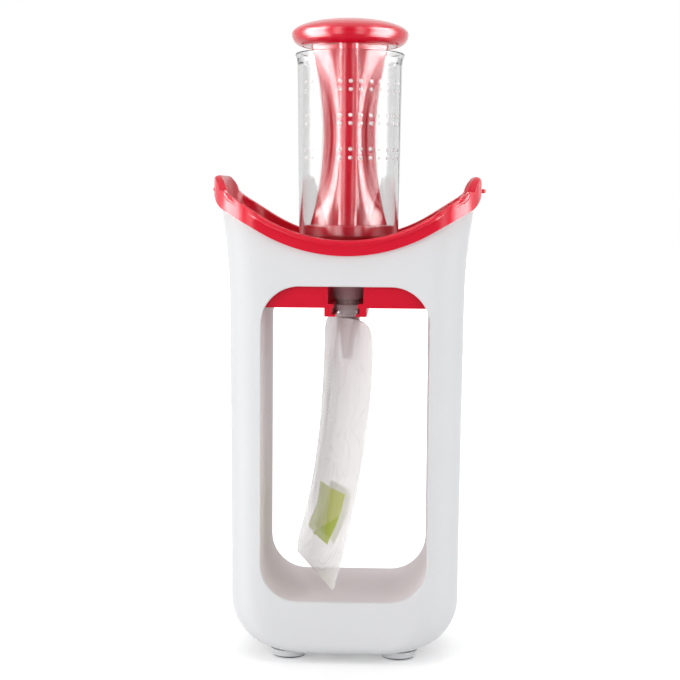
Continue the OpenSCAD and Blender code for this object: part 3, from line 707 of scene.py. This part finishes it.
def make_dots(mat):
    """Low domes on the tube, in three double rows."""
    around, radius, height, sunk = 16, 1.0, 0.4, 0.06
    first, pitch = -8.3, 11.45
    columns = [first + pitch * k for k in (-4, -3, 0, 1, 2, 3, 4, 5, 6, 7)]
    dome = [(radius * math.cos(math.radians(a)), height * math.sin(math.radians(a)))
            for a in (0, 30, 55, 75, 90)]
    verts, faces = [], []
    for level in (296.6, 292.5, 279.6, 275.5, 262.5, 258.2):
        skin = tube_r(level) - sunk
        for column in columns:
            turn = Matrix.Rotation(math.radians(column), 3, "Z")

            def place(x, z, out):
                return tuple(turn @ Vector((x, -(skin + out), 0)) + Vector((0, 0, level + z)))

            base = len(verts)
            for r, out in dome[:-1]:
                for a in (2 * math.pi * k / around for k in range(around)):
                    verts.append(place(r * math.cos(a), r * math.sin(a), out))
            verts.append(place(0, 0, dome[-1][1]))
            for j in range(len(dome) - 2):
                low, high = base + j * around, base + (j + 1) * around
                for k in range(around):
                    n = (k + 1) % around
                    faces.append((low + k, low + n, high + n, high + k))
            top, peak = base + (len(dome) - 2) * around, len(verts) - 1
            for k in range(around):
                faces.append((top + k, top + (k + 1) % around, peak))
            faces.append(tuple(base + k for k in range(around - 1, -1, -1)))
    dots = new_object("tube_dots", verts, faces)
    soften(dots, 60)
    paint(dots, mat)
    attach(dots, "tube")


# ---------------------------------------------------------------- pouch

TOP, LOW = 175.6, 40.5                     # the bag's upper and lower edge
WELD = 0.3                                 # half thickness where its films are welded
MAP_WIDTH, MAP_HEIGHT, MAP_LOW = 100.0, 150.0, 30.0    # what its UV map spans
CREASES = [                                # two ends, width and height of each crease
    ((16, 176), (14, 146), 1.1, 0.55), ((-9, 176), (-9, 138), 1.6, -0.4),
    ((1, 150), (4, 120), 2.0, 0.3), ((20, 119), (-3, 121), 0.9, 0.4),
    ((19, 107), (-18, 101), 1.0, 0.45), ((8, 112), (16, 100), 1.2, -0.3),
    ((-22, 150), (-27, 95), 2.6, -0.35), ((26, 140), (22, 92), 2.2, 0.3),
    ((2, 60), (30, 46), 2.0, 0.35), ((-10, 97), (-14, 62), 1.8, 0.3)]


def pouch_turn(z):
    """The bag's turn about Z, slightly more at its top."""
    low_turn, twist, low_z, rise = 15.3, 2, 60, 100
    return math.radians(low_turn + twist * ease((z - low_z) / rise))


def pouch_x(z):
    """The bag's lower end hangs out to the left."""
    reach, bend = 17.6, 2.2
    return -reach * max(0, (TOP - z) / (TOP - LOW)) ** bend


def pouch_half_w(z):
    """Half width across the bag, drawn in at its round shoulders."""
    neck, full, shoulder = 14, 48, 14
    u = max(0, 1 - (TOP - z) / shoulder)
    return neck + (full - neck) * (1 - u ** 3) ** (1 / 3)


def pouch_half_t(z, share):
    """Half thickness at a share of the half width: a lens, and a swelling at the spout."""
    fill, edge, power = 3.3, 0.87, 2.2
    spout_t, spout_w, spout_h, stretch = 5.6, 13.6, 22, 1.6
    mid = max(0.0, math.sin(math.pi * (z - LOW) / (TOP - LOW)))
    swell = fill * math.sqrt(mid) * max(0, 1 - abs(share) ** power / edge ** power)
    y = share * pouch_half_w(z)
    fall = min(1, (TOP - z) / spout_h / stretch)
    spout = spout_t * max(0, 1 - (y / spout_w) ** 2) * (1 - fall ** 2)
    return WELD + max(swell, spout)


def ridge(q, z, a, b, width, height):
    """A soft crease from point a to point b on the film, fading at its ends."""
    (aq, az), (bq, bz) = a, b
    dq, dz = bq - aq, bz - az
    long = math.hypot(dq, dz)
    t = ((q - aq) * dq + (z - az) * dz) / long ** 2
    off = ((q - aq) * dz - (z - az) * dq) / long
    fade, least, inside = 4, 0.25, 0 <= t <= 1
    profile = math.exp(-(off / width) ** 2)
    return height * profile * ease(min(t, 1 - t) * fade + least) * inside


def film_relief(q, z, side):
    """How far the film stands off its smooth form, in millimetres."""
    top_fade, low_fade, side_fade, seam_q = 6, 8, 6, 46
    slow_q, slow_z, slow_height = 14, 26, 0.55
    fine_q, fine_z, fine_height = 5, 9, 0.16
    crease_gain = 1.5
    calm = ease((TOP - z) / top_fade) * ease((z - LOW) / low_fade)
    calm *= ease((seam_q - abs(q)) / side_fade)
    slow = noise.noise(Vector((q / slow_q, z / slow_z, 3.7 * side))) * slow_height
    fine = noise.noise(Vector((q / fine_q, z / fine_z, 9.1 + side))) * fine_height
    lines = sum(ridge(q if side < 0 else -q, z, *crease) for crease in CREASES)
    return calm * (slow + fine + crease_gain * lines)


def film_points(across, down):
    """Points of the bag's two films, row by row, with their places in the UV map."""
    crowding, weld_fade = 1.2, 1.2
    corner_from, corner_span, corner_lift, corner_height = 0.86, 0.14, 7, 14
    verts, coords = [], []
    for side in (1, -1):
        for j in range(down + 1):
            level = TOP - (TOP - LOW) * (j / down) ** crowding
            for i in range(across + 1):
                share = math.sin(math.pi / 2 * (2 * i / across - 1))
                # The far lower corner is rounded off.
                corner = max(0, (share - corner_from) / corner_span) ** 2
                z = level + corner_lift * (1 - ease((level - LOW) / corner_height)) * corner
                q = share * pouch_half_w(z)
                half = pouch_half_t(z, share)
                open_film = ease((half - WELD) / weld_fade)
                x = side * (half + open_film * film_relief(q, z, side))
                turn = pouch_turn(z)
                verts.append((x * math.cos(turn) - q * math.sin(turn) + pouch_x(z),
                              x * math.sin(turn) + q * math.cos(turn), z))
                coords.append((q / MAP_WIDTH + 0.5, (z - MAP_LOW) / MAP_HEIGHT))
    return verts, coords


def make_pouch(mat):
    across, down = 110, 170
    verts, coords = film_points(across, down)
    row = across + 1
    count = row * (down + 1)
    faces = []
    for j in range(down):
        for i in range(across):
            a = j * row + i
            faces.append((a, a + 1, a + row + 1, a + row))
            faces.append((count + a, count + a + row, count + a + row + 1, count + a + 1))
    # The edges between the two films.
    for j in range(down):
        for i in (0, across):
            a, b = j * row + i, (j + 1) * row + i
            near, far = (a, b, count + b, count + a), (a, count + a, count + b, b)
            faces.append(near if i == 0 else far)
    for j in (0, down):
        for i in range(across):
            a, b = j * row + i, j * row + i + 1
            high, low = (a, count + a, count + b, b), (a, b, count + b, count + a)
            faces.append(high if j == 0 else low)
    bag = new_object("pouch_film_bag", verts, faces)
    layer = bag.data.uv_layers.new(name="film")
    for loop in bag.data.loops:
        layer.data[loop.index].uv = coords[loop.vertex_index]
    soften(bag, 60)
    paint(bag, mat)
    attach(bag, "pouch")
    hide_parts("pouch_bag")


def ribbed_strip(nt, q, z, left):
    """The strip along the far seam, arched at its top, and the zigzag ribs on it."""
    arch_bend, zig_width, zig_height, rib_pitch = 0.09, 3.1, 0.55, 2.1
    middle = step(nt, z, 150, 80, 29, 34)
    off = calc(nt, "ABSOLUTE", calc(nt, "SUBTRACT", q, middle))
    arch = calc(nt, "ADD", z, product(nt, off, off, arch_bend))
    strip = product(nt, step(nt, off, 8.6, 7.8), step(nt, arch, 155, 154),
                    step(nt, z, 66, 74), left)
    zigzag = calc(nt, "PINGPONG", calc(nt, "ADD", q, 100.0), zig_width)
    wave = calc(nt, "ADD", z, product(nt, zigzag, zig_height))
    wave = calc(nt, "SINE", product(nt, wave, 2 * math.pi / rib_pitch))
    return strip, product(nt, strip, calc(nt, "MULTIPLY_ADD", wave, 0.5, 0.5))


def pressed_arcs(nt, q, z, left):
    """Arcs pressed into the lower near corner, where the bottom folds out."""
    middle_q, middle_z, pitch = -17.0, 66.0, 3.0
    dq, dz = calc(nt, "SUBTRACT", q, middle_q), calc(nt, "SUBTRACT", z, middle_z)
    far = calc(nt, "SQRT", calc(nt, "ADD", product(nt, dq, dq), product(nt, dz, dz)))
    rings = calc(nt, "SINE", product(nt, far, 2 * math.pi / pitch))
    return product(nt, step(nt, rings, 0.55, 0.95), step(nt, far, 15.6, 16.4),
                   step(nt, far, 24.6, 23.8), step(nt, dz, -3, -8), step(nt, dq, 10, 2), left)


def green_patch(nt, q, z, left):
    """The plain patch with its curved sides, and its two greens."""
    soft, low_from, low_to = 0.2, 57.9, 58.3
    side_a = calc(nt, "ADD", step(nt, z, 54, 76, 29.6, 17.8), step(nt, z, 72, 88, 0.0, 0.9))
    side_b = calc(nt, "ADD", step(nt, z, 56, 78, -21.5, -31.6), step(nt, z, 72, 88, 0.0, -2.2))
    upper = calc(nt, "MULTIPLY_ADD", q, -0.036, 85.8)
    patch = product(nt, step(nt, calc(nt, "SUBTRACT", side_a, q), -soft, soft),
                    step(nt, calc(nt, "SUBTRACT", q, side_b), -soft, soft),
                    step(nt, calc(nt, "SUBTRACT", upper, z), -soft, soft),
                    step(nt, z, low_from, low_to), left)
    corner = calc(nt, "SUBTRACT", calc(nt, "MULTIPLY_ADD", q, -0.42, 62.1), z)
    pale, bright = (0.55, 0.60, 0.17), (0.43, 0.54, 0.005)
    return patch, blend_colour(nt, step(nt, corner, -0.6, 0.6), pale, bright)


def painted_crease_shade(nt, vector):
    """Painted shade of creases: thin wandering lines, where a noise crosses its middle."""
    crease_shade_noise = nt.nodes.new("ShaderNodeTexNoise")
    crease_shade_noise.inputs["Scale"].default_value = 4.5
    crease_shade_noise.inputs["Detail"].default_value = 2.0
    crease_shade_noise.inputs["Distortion"].default_value = 0.7
    nt.links.new(vector, crease_shade_noise.inputs["Vector"])
    off = calc(nt, "ABSOLUTE", calc(nt, "SUBTRACT", crease_shade_noise.outputs["Fac"], 0.5))
    return step(nt, off, 0.03, 0.0, 0.0, 0.22)


def pouch_film():
    """Thin cloudy film: flat seams, a ribbed strip, pressed arcs and one plain green patch."""
    mat = plastic("pouch_film_skin", (0.93, 0.92, 0.915), 0.34, spread=0.02, grain=0.05)
    nt = mat.node_tree
    bsdf = find_node(nt, "BSDF_PRINCIPLED")
    skin = find_node(nt, "BUMP")
    colour = source_of(bsdf.inputs["Base Color"])
    uv = nt.nodes.new("ShaderNodeUVMap")
    uv.uv_map = "film"
    u, v, _ = split_xyz(nt, uv.outputs[0])
    q = calc(nt, "MULTIPLY_ADD", u, MAP_WIDTH, -MAP_WIDTH / 2)    # millimetres across
    z = calc(nt, "MULTIPLY_ADD", v, MAP_HEIGHT, MAP_LOW)          # height in millimetres
    where = nt.nodes.new("ShaderNodeTexCoord")
    # What is printed or pressed is on the film that faces left.
    left = step(nt, split_xyz(nt, where.outputs["Normal"])[0], 0.05, -0.05)
    strip, ribs = ribbed_strip(nt, q, z, left)
    arcs = pressed_arcs(nt, q, z, left)
    patch, green = green_patch(nt, q, z, left)
    # The welded seams along both sides and the bottom.
    seam = calc(nt, "MAXIMUM", step(nt, calc(nt, "ABSOLUTE", q), 41.2, 41.8),
                step(nt, z, 46.5, 45.5))
    near_corner = product(nt, step(nt, z, 50, 42), step(nt, q, -18, -26), left)
    # Colours, from the film up.
    tone = blend_colour(nt, step(nt, z, 120, 172), colour, (0.90, 0.85, 0.86))
    # painted shade of creases: darker wandering lines on the film
    tone = blend_colour(nt, painted_crease_shade(nt, uv.outputs[0]), tone, (0.62, 0.60, 0.60))
    for mask, strength, over in ((seam, 0.35, (0.95, 0.945, 0.945)),
                                 (strip, 0.6, (0.80, 0.78, 0.78)),
                                 (ribs, 0.9, WHITE),
                                 (arcs, 0.5, (0.66, 0.64, 0.64)),
                                 (near_corner, 0.25, (0.80, 0.83, 0.55))):
        tone = blend_colour(nt, product(nt, mask, strength), tone, over)
    nt.links.new(blend_colour(nt, patch, tone, green), bsdf.inputs["Base Color"])
    # Cloudier where the films are welded or printed, clearer at the lower end.
    low_cover, patch_cover, rib_cover, most = 0.52, 0.3, 0.12, 0.98
    cover = calc(nt, "ADD", step(nt, z, 42, 90, low_cover, FILM_COVER),
                 product(nt, patch, patch_cover))
    cover = calc(nt, "MINIMUM", calc(nt, "ADD", cover, product(nt, ribs, rib_cover)), most)
    nt.links.new(cover, bsdf.inputs["Alpha"])
    relief = nt.nodes.new("ShaderNodeBump")
    relief.inputs["Strength"].default_value = 0.6
    relief.inputs["Distance"].default_value = 0.0009
    nt.links.new(calc(nt, "ADD", ribs, product(nt, arcs, -1.0)), relief.inputs["Height"])
    nt.links.new(skin.outputs[0], relief.inputs["Normal"])
    nt.links.new(relief.outputs[0], bsdf.inputs["Normal"])
    return mat


# ---------------------------------------------------------------- build

make_camera()
make_world()
make_floor()
area_lamp("key", (-1.0, -0.95, 0.32), (0, 0, 0.12), (0.9, 0.9), 6.2)
area_lamp("fill", (1.15, -0.75, 0.3), (0, 0, 0.12), (0.7, 0.9), 2.8)
area_lamp("top", (0.0, -0.15, 1.5), (0, 0, 0.2), (1.2, 1.0), 5.0)

white = plastic("white_plastic_skin", (0.80, 0.805, 0.815), 0.42, spread=0.012, grain=0.12,
                Specular_IOR_Level=0.05)
paint_bay_shade_and_bounce(white)
knob_red = plastic("red_plastic_skin", RED, 0.24, spread=0.04, grain=0.04, Coat_Weight=0.7,
                   Coat_Roughness=0.2, Specular_IOR_Level=0.35)
stem_red = plastic("press_stem_skin", RED, 0.25, spread=0.04, grain=0.03, Coat_Weight=1.0,
                   Coat_Roughness=0.17, Specular_IOR_Level=0.6)
tray_red = plastic("tray_skin", RED, 0.3, spread=0.04, grain=0.06, Coat_Weight=0.3,
                   Coat_Roughness=0.16, Specular_IOR_Level=0.35)
seal_red = plastic("red_seal_skin", (0.5, 0.004, 0.012), 0.45, spread=0.05, grain=0.1)
clear = clear_plastic("clear_plastic_skin", (0.80, 0.80, 0.80), 0.02)
dots = plastic("raised_dots_skin", (0.93, 0.88, 0.90), 0.3, spread=0.01,
               Transmission_Weight=0.4)
rubber = plastic("pad_rubber_skin", (0.034, 0.038, 0.043), 0.7, spread=0.1, grain=0.3,
                 grain_size=0.0003)
# translucent white silicone; its warm tint is a painted reflection of the red tray
soft_seal_painted_pink = plastic("outlet_seal_skin", (0.80, 0.74, 0.745), 0.5, spread=0.03, grain=0.1)
spout = plastic("spout_skin", (1.0, 0.91, 0.92), 0.36, spread=0.02, grain=0.05, Alpha=0.6)
steel = plastic("screw_steel_skin", (0.56, 0.56, 0.57), 0.3, spread=0.05, grain=0.1,
                Metallic=1.0)
film = pouch_film()

make_stand(white)
make_tray(tray_red)
make_stem(stem_red)
make_dots(dots)
make_pouch(film)
paint_node("base_plate", white)
paint_node("base_screws", steel)
for corner in ("front_left", "front_right", "rear_left", "rear_right"):
    paint_node("foot_pad_" + corner, rubber)
paint_node("filling_tube", clear)
paint_node("outlet_seal", soft_seal_painted_pink)
paint_node("press_knob", knob_red)
paint_node("piston_seal", seal_red)
paint_node("pouch_spout", spout)
